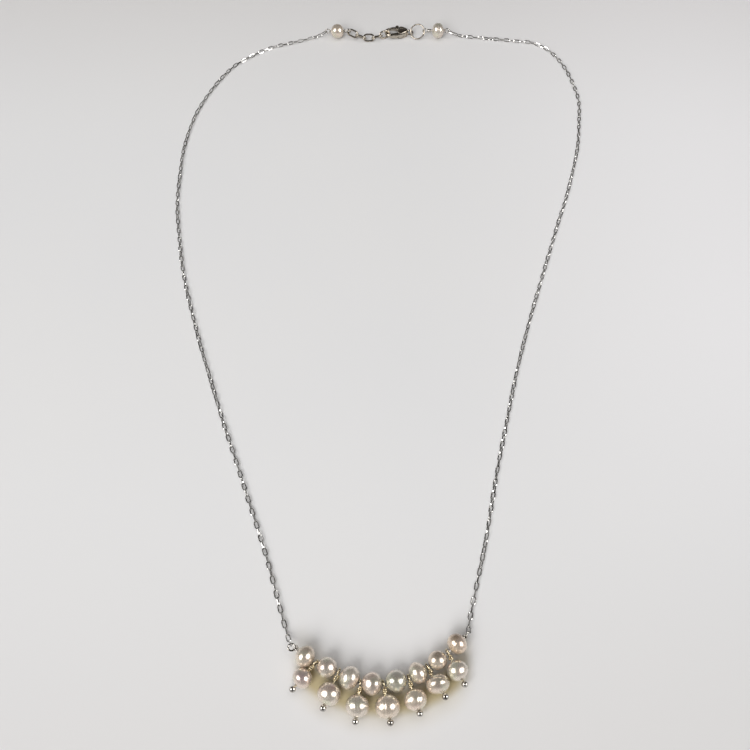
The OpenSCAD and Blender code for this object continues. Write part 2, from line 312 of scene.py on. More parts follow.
def settle(work, node, ending, material, body=NECKLACE, smooth=True):
    """Makes a finished piece of a bmesh. It rides on a body and stands for a node of the frame."""
    bmesh.ops.recalc_face_normals(work, faces=work.faces)
    name = node + ending
    mesh = bpy.data.meshes.new(name)
    work.to_mesh(mesh)
    work.free()
    if smooth:
        mesh.shade_smooth()
    mesh.materials.append(material)
    piece = bpy.data.objects.new(name, mesh)
    bpy.context.scene.collection.objects.link(piece)
    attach(piece, body)
    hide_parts(node)
    return piece


def axes(ahead, origin):
    """Matrix of a place whose X axis points ahead and whose Z axis is as near up as it can be."""
    x = Vector(ahead).normalized()
    y = UP.cross(x).normalized()
    z = x.cross(y)
    turn = Matrix((x, y, z)).transposed().to_4x4()
    return Matrix.Translation(origin) @ turn


def placed(points, matrix):
    return [matrix @ point for point in points]


def rest_on_table(work):
    """Flattens whatever reaches below the table."""
    for vert in work.verts:
        vert.co.z = max(vert.co.z, 0)


def sweep(work, path, radius, sides=10, closed=False):
    """Round wire along a path of points: one ring of vertices is extruded from point to point."""
    count = len(path)

    def direction(i):
        if closed:
            return (path[(i + 1) % count] - path[i - 1]).normalized()
        return (path[min(i + 1, count - 1)] - path[max(i - 1, 0)]).normalized()

    ahead = direction(0)
    side = ahead.orthogonal().normalized()
    turn = Matrix((side, ahead.cross(side), ahead)).transposed().to_4x4()
    ring = bmesh.ops.create_circle(
        work, cap_ends=False, radius=radius, segments=sides,
        matrix=Matrix.Translation(path[0]) @ turn,
    )["verts"]
    edges = list({edge for vert in ring for edge in vert.link_edges})
    first_edges = edges
    for i in range(1, count):
        step = bmesh.ops.extrude_edge_only(work, edges=edges)["geom"]
        ring = [item for item in step if isinstance(item, bmesh.types.BMVert)]
        edges = [item for item in step if isinstance(item, bmesh.types.BMEdge)]
        new_ahead = direction(i)
        bend = ahead.rotation_difference(new_ahead).to_matrix().to_4x4()
        bmesh.ops.transform(
            work, verts=ring,
            matrix=Matrix.Translation(path[i]) @ bend @ Matrix.Translation(-path[i - 1]),
        )
        ahead = new_ahead
    if closed:
        bmesh.ops.bridge_loops(work, edges=first_edges + edges)
    else:
        bmesh.ops.holes_fill(work, edges=first_edges, sides=0)
        bmesh.ops.holes_fill(work, edges=edges, sides=0)


def flat_sweep(work, path, sizes, sides=20):
    """Bar along a path in the XY plane. Each ring has its own half width, in the plane, and half height."""
    rings = []
    last = len(path) - 1
    for i, (point, (half_width, half_height)) in enumerate(zip(path, sizes)):
        ahead = (path[min(i + 1, last)] - path[max(i - 1, 0)]).normalized()
        across = UP.cross(ahead)
        turn = Matrix((across * half_width, UP * half_height, ahead)).transposed().to_4x4()
        ring = bmesh.ops.create_circle(
            work, cap_ends=i in (0, last), radius=1, segments=sides, matrix=Matrix.Translation(point) @ turn)
        rings.append(list({edge for vert in ring["verts"] for edge in vert.link_edges}))
    for low, high in zip(rings, rings[1:]):
        bmesh.ops.bridge_loops(work, edges=low + high)


def plate(work, points, low, high, round_over):
    """Flat plate of an outline between two heights, with both rims rounded over."""
    verts = [work.verts.new(Vector((point.x, point.y, low))) for point in points]
    face = work.faces.new(verts)
    raised = bmesh.ops.extrude_face_region(work, geom=[face])["geom"]
    top = [item for item in raised if isinstance(item, bmesh.types.BMVert)]
    bmesh.ops.translate(work, verts=top, vec=(0, 0, high - low))
    caps = [face] + [item for item in raised if isinstance(item, bmesh.types.BMFace)]
    rims = list({edge for cap in caps for edge in cap.edges})
    bmesh.ops.bevel(work, geom=rims, offset=round_over, offset_type="OFFSET", segments=3, profile=0.5,
                    affect="EDGES", material=-1, clamp_overlap=True)


# Curves


CURVE_STEPS = 24
OUTLINE_STEPS = 5
LENGTH_SAMPLES = 600


def curve_point(a, b, c, d, t):
    """Point at a share t of the way from b to c, on the smooth curve that also passes through a and d."""
    return 0.5 * (2 * b + (c - a) * t + (2 * a - 5 * b + 4 * c - d) * t * t
                  + (3 * b - a - 3 * c + d) * t * t * t)


def spline(points, count):
    """Points along a smooth curve through the given ones, evenly spaced along its length."""
    rough = []
    last = len(points) - 1
    for i in range(last):
        around = points[max(i - 1, 0)], points[i], points[i + 1], points[min(i + 2, last)]
        rough += [curve_point(*around, k / CURVE_STEPS) for k in range(CURVE_STEPS)]
    rough.append(points[last])
    reach = [0.0]
    for a, b in zip(rough, rough[1:]):
        reach.append(reach[-1] + (b - a).length)
    out = []
    k = 0
    for n in range(count):
        goal = reach[-1] * n / (count - 1)
        while k < len(rough) - 2 and reach[k + 1] < goal:
            k += 1
        share = (goal - reach[k]) / max(reach[k + 1] - reach[k], 1e-12)
        out.append(rough[k].lerp(rough[k + 1], min(max(share, 0), 1)))
    return out


def curve_length(points):
    line = spline(points, LENGTH_SAMPLES)
    return sum((b - a).length for a, b in zip(line, line[1:]))


def outline(points):
    """Closed smooth outline in the XY plane through points given in millimetres."""
    out = []
    for i in range(len(points)):
        around = [Vector((*points[(i + k) % len(points)], 0)) for k in (-1, 0, 1, 2)]
        out += [curve_point(*around, k / OUTLINE_STEPS) * MM for k in range(OUTLINE_STEPS)]
    return out


def circle_points(radius, count, centre=Vector()):
    """Points of a circle in the XY plane."""
    angles = [math.tau * k / count for k in range(count)]
    return [centre + Vector((radius * math.cos(angle), radius * math.sin(angle), 0)) for angle in angles]


def oval_points(length, width, wire_r, end_steps):
    """Middle line of an oval link in the XY plane, long along X."""
    end_r = width / 2 - wire_r
    half_straight = (length - width) / 2
    path = []
    for side in (1, -1):
        for k in range(end_steps + 1):
            angle = math.pi / 2 - math.pi * k / end_steps
            along = half_straight + end_r * math.cos(angle)
            path.append(side * Vector((along, end_r * math.sin(angle), 0)))
    return path


def eye_points(centre, out, normal, first, last):
    """Points of an eye loop round a centre, between two angles in degrees. At 0 they lie outwards."""
    x = Vector(out).normalized()
    y = Vector(normal).normalized().cross(x)
    points = []
    for k in range(EYE_STEPS + 1):
        angle = math.radians(first + (last - first) * k / EYE_STEPS)
        points.append(centre + EYE_R * (math.cos(angle) * x + math.sin(angle) * y))
    return points


def wrap_points(start, turns):
    """Points of the wire wrapped round a neck that lies on the X axis."""
    points = []
    for k in range(int(turns * WRAP_STEPS) + 1):
        angle = math.tau * k / WRAP_STEPS
        x = start + WRAP_PITCH * k / WRAP_STEPS
        points.append(Vector((x, WRAP_R * math.sin(angle), WRAP_R * math.cos(angle))))
    return points


# Frame readings


BORE_EDGE_SHARE = 0.93


def bore_axis(node):
    """Direction of a pearl's drilled hole, read from a straight edge of its bore."""
    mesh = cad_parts[node].data
    edges = []
    for edge in mesh.edges:
        a, b = (mesh.vertices[i].co for i in edge.vertices)
        edges.append(b - a)
    # the longest edges are all in the bore, and its straight ones are a little shorter than its diagonals
    longest = max(edge.length for edge in edges)
    in_bore = [edge for edge in edges if edge.length > BORE_EDGE_SHARE * longest]
    return min(in_bore, key=lambda edge: edge.length).normalized()


def middle(node):
    low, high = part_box(node)
    return (low + high) / 2


def reach_along(node, axis, origin):
    """Lowest and highest distance of a node's vertices along an axis."""
    spans = [(vert.co - origin).dot(axis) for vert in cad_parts[node].data.vertices]
    return min(spans), max(spans)


def width_across(node, axis, origin):
    """Widest diameter of a node round an axis."""
    offsets = [vert.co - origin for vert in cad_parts[node].data.vertices]
    return 2 * max((offset - axis * offset.dot(axis)).length for offset in offsets)


# Camera, table and light


CAMERA_PLACE = (-2.7 * MM, -133.3 * MM, 181.31 * MM)
CAMERA_LEAN = math.radians(31.15)
CAMERA_LENS = 42.24
CAMERA_FILM = 36
TABLE_RADIUS = 2.0

# At each side, one lamp is only mirrored, and a weaker one in the same place only gives plain light
WHITE = (1, 1, 1)
WARM_WHITE = (1.0, 0.985, 0.965)
SIDE_LAMP_AWAY = 0.63
SIDE_LAMP_NORTH = -0.215
SIDE_LAMP_HEIGHT = 0.54
SIDE_LAMP_AIM = (0, -0.02, 0)
SIDE_LAMP_SIZE = (0.6, 0.6)
GLINT_POWER = 5.5
LAMP_POWER = 1.6
# A broad soft light overhead, and a window low in the front left
SKY_PLACE = (0, 0.02, 0.5)
SKY_AIM = (0, 0.02, 0)
SKY_SIZE = (0.9, 0.8)
SKY_POWER = 1.58
WINDOW_PLACE = (-0.45, -1.05, 0.9)
WINDOW_AIM = (0, -0.09, 0)
WINDOW_SIZE = (1.0, 0.95)
WINDOW_POWER = 15.9
# The room is grey low down and dark overhead
ROOM_STOPS = [(0.0, (0.25, 0.25, 0.253, 1)), (0.75, (0.05, 0.043, 0.038, 1))]


def make_camera():
    data = bpy.data.cameras.new("camera")
    data.sensor_width = CAMERA_FILM
    data.lens = CAMERA_LENS
    data.clip_start = 10 * MM
    camera = bpy.data.objects.new("camera", data)
    camera.location = CAMERA_PLACE
    camera.rotation_euler = (CAMERA_LEAN, 0, 0)
    bpy.context.scene.collection.objects.link(camera)
    bpy.context.scene.camera = camera


def make_table():
    work = bmesh.new()
    bmesh.ops.create_circle(work, cap_ends=True, segments=96, radius=TABLE_RADIUS)
    mesh = bpy.data.meshes.new("floor")
    work.to_mesh(mesh)
    work.free()
    mesh.materials.append(table_finish())
    floor = bpy.data.objects.new("floor", mesh)
    bpy.context.scene.collection.objects.link(floor)


def area_light(name, place, aim, size, power, tint=WHITE):
    data = bpy.data.lights.new(name, "AREA")
    data.shape = "ELLIPSE"
    data.size, data.size_y = size
    data.energy = power
    data.color = tint
    light = bpy.data.objects.new(name, data)
    light.location = place
    light.rotation_euler = (Vector(aim) - Vector(place)).to_track_quat("-Z", "Y").to_euler()
    bpy.context.scene.collection.objects.link(light)
    return light


def make_light():
    for side in (-1, 1):
        lamp = ((side * SIDE_LAMP_AWAY, SIDE_LAMP_NORTH, SIDE_LAMP_HEIGHT), SIDE_LAMP_AIM, SIDE_LAMP_SIZE)
        area_light("glint_%d" % side, *lamp, GLINT_POWER, WARM_WHITE).visible_diffuse = False
        area_light("lamp_%d" % side, *lamp, LAMP_POWER, WARM_WHITE).visible_glossy = False
    area_light("sky", SKY_PLACE, SKY_AIM, SKY_SIZE, SKY_POWER).visible_glossy = False
    area_light("window", WINDOW_PLACE, WINDOW_AIM, WINDOW_SIZE, WINDOW_POWER).visible_glossy = False
    bpy.context.scene.view_settings.view_transform = "Standard"


def make_room():
    """Surroundings that the pearls and the silver mirror."""
    world = bpy.data.worlds.new("studio")
    room = Shading(world, "Background")
    height = room.split(room.node("ShaderNodeTexCoord", output="Generated")).output("Z")
    room.feed("Color", room.node("ShaderNodeValToRGB", {"stops": ROOM_STOPS}, (height,)))
    bpy.context.scene.world = world


# Pearls


PEARL_AROUND = 88
PEARL_RINGS = 52
BORE_R = 0.24 * MM
# Two rings of points in the bore, as shares of half its length
BORE_RINGS = (0.55, -0.55)
# Dents and swellings fade out over this distance from the bore
BORE_RIM = 0.5 * MM
# Unevenness of every pearl, as a share of its radius, with the sizes of its broad and its fine swellings
BUMPS = 0.02
FINE_SHARE = 0.25
BROAD_BUMP = 1.9 * MM
FINE_BUMP = 0.8 * MM
# Steps through the noise from one pearl's seed to the next
BROAD_STEP = Vector((7.3, 3.1, 0))
FINE_STEP = Vector((0, 5.7, 2.9))
# How far the camera's line of sight to the pendant leans from straight down
SIGHT_LEAN = math.radians(12.6)

# Pink and violet are the pearls' own hues; brown is a painted dark reflection at a pearl's top, grey a
# painted shade
STAINS_AND_PAINTED_SHADE = {
    "painted_brown_reflection": (128, 104, 82),
    "pink": (206, 164, 150),
    "violet": (184, 155, 166),
    "painted_grey_shade": (130, 126, 118),
}

# Tone, seed and marks of each pearl. Places, depths and breadths are shares of its radius.
# A dent, a stain or a painted shade is (kind, right, up, depth or strength, breadth), as the camera sees it.
# A ring is a groove across a heading, as (kind, offset, heading, depth, breadth).
# A flat shortens the pearl along its heading by its depth.
PEARL_LOOKS = {
    "pearl_top_1": ("cream", 1, [("dent", 0.45, 0.2, 0.03, 0.4), ("painted_brown_reflection", 0.1, 0.85, 0.5, 0.5)]),
    "pearl_top_2": ("silver_white", 2, [
        ("dent", 0.4, 0.0, 0.03, 0.45), ("dent", -0.45, -0.1, -0.012, 0.4), ("painted_grey_shade", 0.0, 0.1, 0.25, 0.5)]),
    "pearl_top_3": ("silver_white", 3, [
        ("ring", 0.1, 0, 0.022, 0.06), ("ring", -0.12, 0, 0.012, 0.05), ("ring", 0.7, 0, 0.02, 0.08),
        ("dent", -0.42, 0.0, 0.03, 0.4), ("dent", 0.42, -0.1, 0.02, 0.13)]),
    "pearl_top_4": ("rose", 4, [
        ("dent", -0.42, 0.0, 0.05, 0.42), ("dent", 0.45, 0.0, -0.02, 0.35), ("painted_grey_shade", 0.0, 0.1, 0.25, 0.5)]),
    "pearl_top_5": ("green", 5, [("dent", 0.1, 0.5, 0.02, 0.4), ("painted_grey_shade", 0.0, 0.1, 0.25, 0.5)]),
    "pearl_top_6": ("cream", 6, [("dent", 0.3, 0.8, 0.06, 0.6), ("dent", -0.9, 0.5, 0.03, 0.5)]),
    "pearl_top_7": ("cream", 7, [("dent", 0.02, 0.66, 0.07, 0.16), ("painted_brown_reflection", 0.0, 0.6, 0.6, 0.55)]),
    "pearl_top_8": ("peach", 8, [
        ("ring", -0.07, -45, 0.025, 0.05), ("dent", 0.0, 0.42, 0.09, 0.14),
        ("painted_brown_reflection", -0.1, 0.85, 0.9, 0.55)]),
    "pearl_drop_1": ("rose", 9, [("dent", 0.1, 0.6, 0.02, 0.4), ("violet", 0.0, 0.1, 0.5, 0.55)]),
    "pearl_drop_2": ("silver_white", 10, [
        ("dent", -0.4, 0.15, 0.025, 0.32), ("pink", 0.35, 0.55, 0.6, 0.4)]),
    "pearl_drop_3": ("silver_white", 11, [
        ("ring", 0.0, 0, 0.03, 0.07), ("ring", -0.28, 0, 0.012, 0.05), ("ring", 0.55, 0, 0.03, 0.2)]),
    "pearl_drop_4": ("cream", 12, [("ring", -0.24, 0, 0.03, 0.05), ("dent", -0.4, 0.1, 0.02, 0.35)]),
    "pearl_drop_5": ("cream", 13, [("ring", 0.3, -5, 0.035, 0.06), ("ring", -0.6, 10, 0.015, 0.12)]),
    "pearl_drop_6": ("cream", 14, [
        ("ring", 0.4, 84, 0.09, 0.13), ("flat", 0, 80, 0.16, 0), ("dent", 0.45, -0.1, 0.03, 0.3),
        ("painted_grey_shade", 0.0, 0.0, 0.4, 0.5)]),
    "pearl_drop_7": ("silver_white", 15, [("dent", 0.45, 0.15, 0.03, 0.4), ("dent", 0.1, -0.1, -0.01, 0.3)]),
    "pearl_clasp_left": ("cream", 16, [("dent", 0.0, 0.2, 0.02, 0.5)]),
    "pearl_clasp_right": ("silver_white", 17, [("ring", 0.0, 0, 0.05, 0.1)]),
}
# Growth of a pearl over its plain form in the frame, along its bore and across it. It makes up for dents.
PLAIN_SWELL = (1.03, 1.03)
PEARL_SWELL = {
    "pearl_top_1": (1.05, 1.05), "pearl_top_2": (1.05, 1.0), "pearl_top_3": (1.05, 1.02),
    "pearl_top_4": (1.08, 0.98), "pearl_top_5": (1.07, 0.97), "pearl_top_7": (1.08, 0.96),
    "pearl_top_8": (1.0, 1.03), "pearl_drop_1": (1.0, 1.06), "pearl_drop_2": (1.04, 1.06),
    "pearl_drop_3": (1.03, 1.07), "pearl_drop_4": (1.04, 1.12), "pearl_drop_5": (1.04, 1.05),
    "pearl_drop_6": (1.0, 1.15), "pearl_drop_7": (0.93, 0.97),
}
# How far a pearl sits up its pin from where it is in the frame
PEARL_SLIDE = {"pearl_drop_7": 0.1 * MM}


def facing(right, up):
    """Direction of a spot that the camera sees right of and above a pearl's middle, in radii."""
    out = math.sqrt(max(1 - right * right - up * up, 0))
    lean_cos, lean_sin = math.cos(SIGHT_LEAN), math.sin(SIGHT_LEAN)
    return Vector((right, up * lean_cos - out * lean_sin, up * lean_sin + out * lean_cos))


def marks_towards(out, marks):
    """How far a pearl's marks sink its surface where that faces a direction, and its stain and painted shade
    there.
    """
    sink = 0
    stain_and_shade = (0, 0, 0, 0)
    for kind, first, second, depth, breadth in marks:
        if kind in ("ring", "flat"):
            heading = math.radians(second)
            along = out.x * math.cos(heading) + out.y * math.sin(heading)
            sink += depth * (along ** 2 if kind == "flat" else math.exp(-((along - first) / breadth) ** 2))
        else:
            away = (out - facing(first, second)).length
            strength = depth * math.exp(-(away / breadth) ** 2)
            if kind == "dent":
                sink += strength
            else:
                # pink and violet stains are the pearl's own hues, while brown and grey ones are painted
                # reflection and shade
                stain_and_shade = (*colour(*STAINS_AND_PAINTED_SHADE[kind])[:3], strength)
    return sink, stain_and_shade


def spin_pearl(work, length, width):
    """Drilled pearl round the X axis: its half outline, with the bore's, is spun all the way round."""
    half = length / 2
    wide = width / 2
    start = math.asin(BORE_R / wide)
    places = []
    for k in range(PEARL_RINGS + 1):
        angle = start + (math.pi - 2 * start) * k / PEARL_RINGS
        places.append((-half * math.cos(angle), 0, wide * math.sin(angle)))
    places += [(share * half, 0, BORE_R) for share in BORE_RINGS]
    loop = [work.verts.new(place) for place in places]
    edges = [work.edges.new(pair) for pair in zip(loop, loop[1:] + loop[:1])]
    bmesh.ops.spin(
        work, geom=loop + edges, cent=(0, 0, 0), axis=(1, 0, 0), angle=math.tau,
        steps=PEARL_AROUND, use_merge=True, use_duplicate=False,
    )
    bmesh.ops.remove_doubles(work, verts=work.verts, dist=1e-7)


def shape_pearl(work, matrix, seed, marks):
    """Gives a plain pearl its swellings and its marks, and stores its stains and painted shade."""
    turn = matrix.to_3x3()
    stain_and_shade_layer = work.verts.layers.float_color.new("stain_and_shade")
    for vert in work.verts:
        place = vert.co
        off_bore = place.yz.length - BORE_R
        if off_bore < 0.02 * BORE_R:
            continue
        broad = noise.noise(place / BROAD_BUMP + seed * BROAD_STEP)
        fine = noise.noise(place / FINE_BUMP + seed * FINE_STEP)
        sink, stain_and_shade = marks_towards((turn @ place).normalized(), marks)
        vert[stain_and_shade_layer] = stain_and_shade
        push = BUMPS * (broad + FINE_SHARE * fine) - sink
        vert.co = place * (1 + push * min(1, off_bore / BORE_RIM))


def make_pearls():
    finishes = {tone: pearl_finish("pearl_" + tone, *tints) for tone, tints in PEARL_TONES.items()}
    for node, (tone, seed, marks) in PEARL_LOOKS.items():
        axis = bore_axis(node)
        centre = middle(node)
        low, high = reach_along(node, axis, centre)
        longer, wider = PEARL_SWELL.get(node, PLAIN_SWELL)
        slide = math.copysign(PEARL_SLIDE.get(node, 0), axis.y) * axis
        matrix = axes(axis, centre + slide)
        work = bmesh.new()
        spin_pearl(work, longer * (high - low), wider * width_across(node, axis, centre))
        shape_pearl(work, matrix, seed, marks)
        bmesh.ops.transform(work, matrix=matrix, verts=work.verts)
        rest_on_table(work)
        settle(work, node, "_nacre", finishes[tone])


# Pins, bar wire and rear wires


PIN_COUNT = 7
# A pin's last straight points before its eye, and its first wrap, counted from the neck's start
PIN_SHANK_STOPS = (0.5 * MM, 0.1 * MM)
PIN_WRAP_START = 0.12 * MM
MOST_WRAPS = 3
# Length of a pin's neck that is left without wraps
BARE_NECK = 0.38 * MM
# The ball foot is a little larger and further out than in the frame
BALL_SWELL = 1.12
BALL_OUT = 0.04 * MM

BAR_HEIGHT = 2.35 * MM
# Places on the bar wire, in millimetres: its bends, and the neck and the eye at its left end
BAR_BENDS = [(-18.1, -89.7), (-14.5, -91.9), (-9.9, -93.6), (-5.6, -95.8), (-1.0, -95.9),
             (3.9, -94.8), (7.7, -92.73), (11.8, -89.9), (15.2, -86.85)]
BAR_LEFT_NECK = (-18.73, -88.62)
BAR_LEFT_EYE = (-19.42, -88.8)
BAR_STEPS = 90
# Heading, dip and length of the neck at the bar's right end
BAR_RIGHT_HEADING = math.radians(50)
BAR_RIGHT_DIP = math.radians(25)
BAR_RIGHT_NECK = 0.5 * MM

# Gap between a rear pearl and the wire's neck, and where the shank and the wraps start on the neck
REAR_GAP = 0.02 * MM
REAR_SHANK_START = 0.1 * MM
REAR_WRAP_START = 0.2 * MM
# The last of the wraps stops short by this part of a turn
REAR_WRAP_CUT = 0.4


def pin_points(shank_end, turns):
    """Path of one wire: along X to an eye round the origin, round the eye, then wrapped on itself."""
    shank = [Vector((x, 0, 0)) for x in (shank_end, *(NECK_START + stop for stop in PIN_SHANK_STOPS))]
    loop = eye_points(Vector(), (1, 0, 0), (0, 1, 0), PIN_EYE_GAP, 360 - PIN_EYE_GAP)
    return shank + loop + wrap_points(NECK_START + PIN_WRAP_START, turns)


def add_ball(work, x, radius):
    """Ball foot on the X axis, in the second of its piece's materials."""
    wire_faces = len(work.faces)
    bmesh.ops.create_uvsphere(work, u_segments=28, v_segments=18, radius=radius,
                              matrix=Matrix.Translation((x, 0, 0)))
    work.faces.ensure_lookup_table()
    for face in work.faces[wire_faces:]:
        face.material_index = 1


def make_pins(warm_reflection_wrap_silver, silver):
    for i in range(1, PIN_COUNT + 1):
        pearl = "pearl_drop_%d" % i
        node = "drop_pin_%d" % i
        axis = bore_axis(pearl)
        centre = middle(pearl)
        low, high = reach_along(node, axis, centre)
        # the eye is at the pin's long end, and the axis points from it to the ball
        if abs(high) > abs(low):
            axis = -axis
            low, high = -high, -low
        eye_x = low + EYE_R + WIRE_R
        eye = centre + axis * eye_x
        ball_x = high - BALL_R + BALL_OUT - eye_x
        pearl_low, _ = reach_along(pearl, axis, centre)
        neck_room = pearl_low - eye_x - NECK_START
        turns = min(MOST_WRAPS, (neck_room - BARE_NECK) / WRAP_PITCH)
        # the ball grows until it rests on the table
        ball_height = (eye + axis * ball_x).z
        ball_r = min(BALL_SWELL * BALL_R, max(BALL_R, ball_height))
        work = bmesh.new()
        sweep(work, pin_points(ball_x, turns), WIRE_R)
        add_ball(work, ball_x, ball_r)
        bmesh.ops.transform(work, matrix=axes(axis, eye), verts=work.verts)
        settle(work, node, "_wire", warm_reflection_wrap_silver).data.materials.append(silver)


def bend_wire(path, node, material):
    work = bmesh.new()
    sweep(work, path, WIRE_R, sides=12)
    settle(work, node, "_bent", material)


def make_bar_wire(silver):
    """Wire through the upper pearls. Returns the middle and the axis of each of its end eyes."""
    def at_bar(x, y):
        return Vector((x * MM, y * MM, BAR_HEIGHT))

    bends = [at_bar(*bend) for bend in BAR_BENDS]
    left_neck = at_bar(*BAR_LEFT_NECK)
    left_eye = at_bar(*BAR_LEFT_EYE)
    left_ahead = bends[0] - left_neck
    right_turn = Matrix.Rotation(BAR_RIGHT_HEADING, 4, "Z") @ Matrix.Rotation(BAR_RIGHT_DIP, 4, "Y")
    right_ahead = (right_turn @ Vector((1, 0, 0))).normalized()
    right_neck = bends[-1] + right_ahead * BAR_RIGHT_NECK
    right_eye = right_neck + right_ahead * EYE_R
    right_side = right_ahead.cross(UP).normalized()
    left_wraps = placed(wrap_points(start=0.05 * MM, turns=2), axes(left_ahead, left_neck))
    left_loop = eye_points(left_eye, left_neck - left_eye, UP, 360 - EYE_GAP, EYE_GAP)
    bar = spline([left_neck] + bends + [right_neck], BAR_STEPS)
    right_loop = eye_points(right_eye, -right_ahead, right_side, EYE_GAP, 360 - EYE_GAP)
    right_wraps = placed(wrap_points(start=0.15 * MM, turns=1), axes(right_ahead, bends[-1]))
    bend_wire(left_wraps[::-1] + left_loop + bar + right_loop + right_wraps[::-1], "bar_wire", silver)
    return (left_eye, UP), (right_eye, right_side)


def rear_wire_end(neck, turns):
    """Middle of a rear wire's eye, and the wire's path from its neck on X to the eye and back in wraps."""
    eye = Vector((neck + turns * 2 * WIRE_R + NECK_START, 0, 0))
    shank = [Vector((neck + REAR_SHANK_START, 0, 0))]
    loop = eye_points(eye, (-1, 0, 0), (0, 1, 0), EYE_GAP, 360 - EYE_GAP)
    wraps = wrap_points(neck + REAR_WRAP_START, turns - REAR_WRAP_CUT)
    return eye, shank + loop + wraps[::-1]


def make_rear_wire(node, pearl, silver, turns_left, turns_right):
    """Wire through a rear pearl. Returns the middle and the axis of each of its end eyes."""
    low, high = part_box(pearl)
    neck = PLAIN_SWELL[0] * (high.x - low.x) / 2 + REAR_GAP
    left_eye, left_path = rear_wire_end(neck, turns_left)
    right_eye, right_path = rear_wire_end(neck, turns_right)
    to_right = Matrix.Translation(middle(pearl))
    to_left = to_right @ Matrix.Rotation(math.pi, 4, "Z")
    bend_wire(placed(left_path[::-1], to_left) + placed(right_path, to_right), node, silver)
    upright = Vector((0, 1, 0))
    return (to_left @ left_eye, upright), (to_right @ right_eye, upright)


# Fine chain


# The links lean by this much, and by a little more or less along the chain
SLANT = math.radians(45)
SWAY = 0.3
SWAY_RATE = 10
# Shares of the chain over which the lean comes in, where it starts to go out, and over which it goes out
SLANT_RISE = 0.08
SLANT_END = 0.93
SLANT_FALL = 0.06
# Each link is also turned a little against the ones beside it, apart from the few at each end
JITTER = 0.2
JITTER_RATE = 2.4
END_LINKS = 4


def chain_twist(share, start, end, flat_until):
    """Lean of the links along a chain, in radians: straight at both ends and slanted between them."""
    slant = SLANT + SWAY * math.sin(SWAY_RATE * share)
    rise = min(max((share - flat_until) / SLANT_RISE, 0), 1)
    fall = min(max((share - SLANT_END) / SLANT_FALL, 0), 1)
    return start + slant * rise * (1 - fall) + (end - start) * fall


def inside_eye(eye, normal, towards):
    """Start of a chain whose end link bends round an eye's wire, on the side that the chain leaves to."""
    ahead = (towards - eye).normalized()
    out = (ahead - normal * ahead.dot(normal)).normalized()
    bend_middle = eye + out * EYE_R
    return bend_middle + ahead * ((LINK_LENGTH - LINK_PITCH - LINK_WIDTH) / 2)


def link_pattern():
    """Mesh of one link, which the chains repeat."""
    work = bmesh.new()
    sweep(work, oval_points(LINK_LENGTH, LINK_WIDTH, LINK_WIRE_R, LINK_END_STEPS), LINK_WIRE_R,
          sides=LINK_SIDES, closed=True)
    bmesh.ops.recalc_face_normals(work, faces=work.faces)
    pattern = bpy.data.meshes.new("link")
    work.to_mesh(pattern)
    work.free()
    return pattern


def make_chain(node, route, first_eye, last_eye, silver, start_roll, flat_until):
    """Cable chain of single links between two eyes. Its first links lie flat for a share of its length."""
    points = [Vector(point) for point in route]
    points[0] = inside_eye(*first_eye, points[1])
    points[-1] = inside_eye(*last_eye, points[-2])
    count = round(curve_length(points) / LINK_PITCH)
    stations = spline(points, 2 * count + 1)
    # the last link lies flat, whether it is an even or an odd one
    end_roll = math.pi / 2 * (count % 2 + 1)
    pattern = link_pattern()
    work = bmesh.new()
    for k in range(count):
        before, here, after = stations[2 * k:2 * k + 3]
        roll = chain_twist(k / (count - 1), start_roll, end_roll, flat_until) + math.pi / 2 * (k % 2)
        if END_LINKS <= k < count - END_LINKS:
            roll += JITTER * math.sin(JITTER_RATE * k)
        first = len(work.verts)
        work.from_mesh(pattern)
        work.verts.ensure_lookup_table()
        place = axes(after - before, here) @ Matrix.Rotation(roll, 4, "X")
        bmesh.ops.transform(work, matrix=place, verts=work.verts[first:])
    bpy.data.meshes.remove(pattern)
    rest_on_table(work)
    settle(work, node, "_links", silver, smooth=False)


# Extender links and jump ring


# Where the extender links meet, in millimetres, and how far each is rolled from lying flat, in degrees
LINK_JOINTS = [(-10.98, 100.2, 2.05), (-8.37, 99.15, 1.33), (-5.9, 98.52, 0.95),
               (-3.33, 98.62, 0.93), (-0.86, 99.38, 1.08), (1.76, 100.47, 1.15)]
LINK_ROLLS = [22, -50, 40, -35, 64]
# Size of a link's middle line, and its wire
OVAL_LENGTH = 3.15 * MM
OVAL_WIDTH = 1.95 * MM
OVAL_WIRE_R = 0.265 * MM
OVAL_END_STEPS = 12
# Opposite points of the jump ring, in millimetres
RING_START = (8.42, 100.8, 1.15)
RING_END = (12.62, 100.2, 2.22)
RING_ROLL = 38
RING_WIRE_R = 0.2 * MM
RING_STEPS = 48


def roll_matrix(degrees):
    return Matrix.Rotation(math.radians(degrees), 4, "X")


def make_extender(silver):
    wire_d = 2 * OVAL_WIRE_R
    path = oval_points(OVAL_LENGTH + wire_d, OVAL_WIDTH + wire_d, OVAL_WIRE_R, OVAL_END_STEPS)
    last = len(LINK_ROLLS) - 1
    for i, roll in enumerate(LINK_ROLLS):
        start, end = (Vector(point) * MM for point in LINK_JOINTS[i:i + 2])
        span = (end - start).length
        # an end link reaches exactly to what holds it, and the others are centred between their joints
        middle_x = {0: OVAL_LENGTH / 2, last: span - OVAL_LENGTH / 2}.get(i, span / 2)
        work = bmesh.new()
        sweep(work, path, OVAL_WIRE_R, sides=14, closed=True)
        place = axes(end - start, start) @ Matrix.Translation((middle_x, 0, 0)) @ roll_matrix(roll)
        bmesh.ops.transform(work, matrix=place, verts=work.verts)
        rest_on_table(work)
        settle(work, "extender_link_%d" % (i + 1), "_cast", silver)


